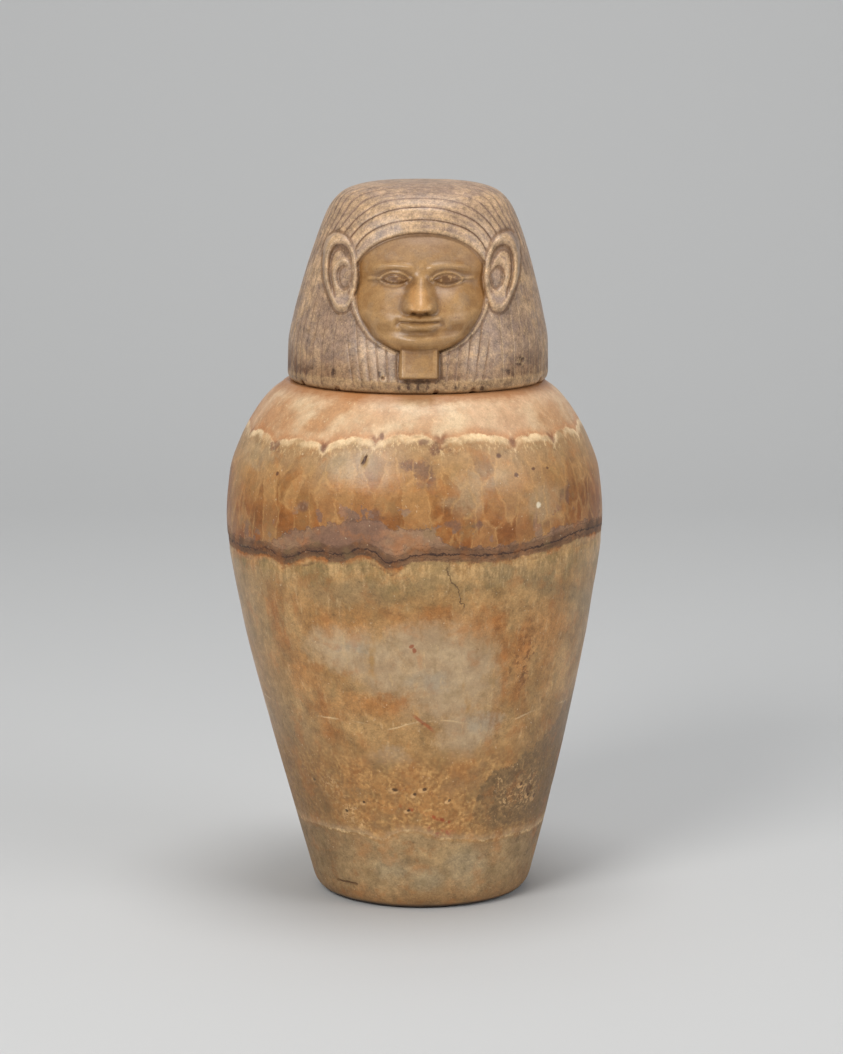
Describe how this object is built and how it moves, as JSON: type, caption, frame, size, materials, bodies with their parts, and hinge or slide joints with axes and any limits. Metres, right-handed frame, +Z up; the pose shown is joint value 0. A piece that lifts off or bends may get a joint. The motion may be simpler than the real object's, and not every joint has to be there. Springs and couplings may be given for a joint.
{
  "type": "canopic jar",
  "caption": "Canopic jar of banded calcite with a lift-off lid carved as a head in a full wig and a short beard",
  "frame": {"origin": "centre of the bounding box on the ground plane, under the middle of the belly", "axes": "+Z up along the vessel's height, the carved face looks along -Y, +X to the face's left, which is the viewer's right"},
  "size_m": [0.1904, 0.1904, 0.362],
  "materials": {
    "jar_stone": "polished, worn",
    "lid_stone": "worn, partly polished"
  },
  "bodies": {
    "root": {"jar": "jar_stone", "lid": "lid_stone"}
  },
  "joints": []
}
